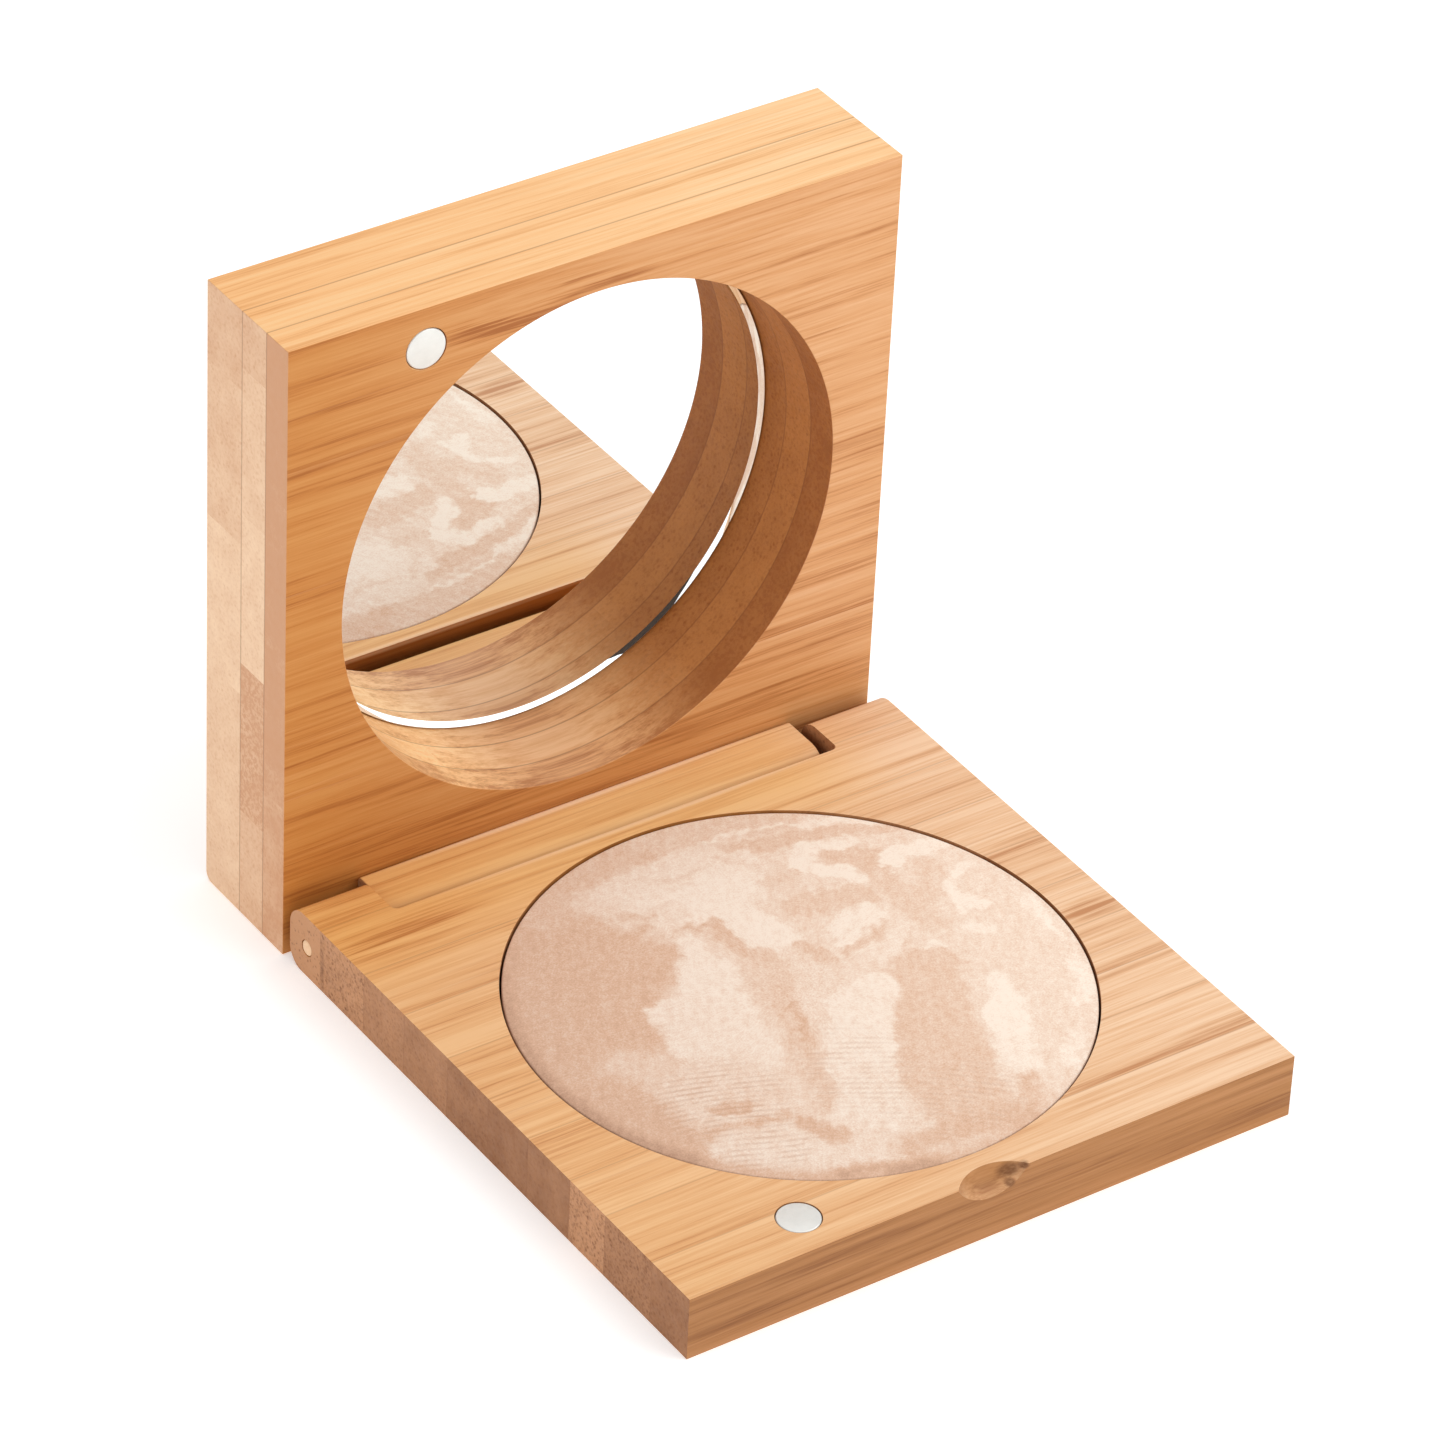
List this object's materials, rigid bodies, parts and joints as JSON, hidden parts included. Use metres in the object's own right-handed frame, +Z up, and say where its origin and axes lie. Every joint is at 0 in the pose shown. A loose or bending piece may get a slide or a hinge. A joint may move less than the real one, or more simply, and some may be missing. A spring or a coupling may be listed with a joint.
{
  "type": "powder compact",
  "caption": "Square hinged powder compact of laminated bamboo: a thin base with a round pan of baked powder, and a deep lid with a round mirror recess.",
  "frame": {"origin": "on the surface the open compact stands on, under the middle of its box", "axes": "+X to the right along the hinge, +Y from the opening edge towards the upright lid, +Z up"},
  "size_m": [0.0804, 0.0984, 0.0808],
  "materials": {
    "base_bamboo": "sanded bamboo with a thin matt oil",
    "lid_bamboo": "sanded bamboo with a thin matt oil",
    "pin_bamboo": "sanded end of a split bamboo pin",
    "pressed_powder": "marbled baked powder, dry and matt",
    "pan_tin": "drawn sheet, satin",
    "magnet_plating": "nickel plating, satin",
    "mirror": "bevelled glass mirror",
    "silvering": "lacquered metal film",
    "glue": "cured glue, dull"
  },
  "bodies": {
    "base": {"base_strip_1": "base_bamboo", "base_strip_2": "base_bamboo", "base_strip_3": "base_bamboo", "base_strip_4": "base_bamboo", "base_strip_5": "base_bamboo", "base_strip_6": "base_bamboo", "base_strip_7": "base_bamboo", "base_strip_8": "base_bamboo", "base_strip_9": "base_bamboo", "base_ear_left": "base_bamboo", "base_ear_right": "base_bamboo", "hinge_pin_left": "pin_bamboo", "hinge_pin_right": "pin_bamboo", "powder_pan_glue": "glue", "powder_pan": "pan_tin", "powder_cake": "pressed_powder", "base_magnet": "magnet_plating"},
    "lid": {"lid_back_strip_1": "lid_bamboo", "lid_back_strip_2": "lid_bamboo", "lid_back_strip_3": "lid_bamboo", "lid_back_strip_4": "lid_bamboo", "lid_back_strip_5": "lid_bamboo", "lid_core_strip_1": "lid_bamboo", "lid_core_strip_2_left": "lid_bamboo", "lid_core_strip_2_right": "lid_bamboo", "lid_core_strip_3_left": "lid_bamboo", "lid_core_strip_3_right": "lid_bamboo", "lid_core_strip_4_left": "lid_bamboo", "lid_core_strip_4_right": "lid_bamboo", "lid_core_strip_5": "lid_bamboo", "lid_front_strip_1": "lid_bamboo", "lid_front_strip_2_left": "lid_bamboo", "lid_front_strip_2_right": "lid_bamboo", "lid_front_strip_3_left": "lid_bamboo", "lid_front_strip_3_right": "lid_bamboo", "lid_front_strip_4": "lid_bamboo", "hinge_tongue": "lid_bamboo", "lid_magnet": "magnet_plating", "mirror_glass": "mirror", "mirror_silver_backing": "silvering", "mirror_glue": "glue"}
  },
  "joints": [
    {"name": "lid_hinge", "type": "hinge", "parent": "base", "child": "lid", "pos_m": [0, 0.0277, 0.0039], "axis": [1, 0, 0], "range_deg": [-10, 90]}
  ]
}
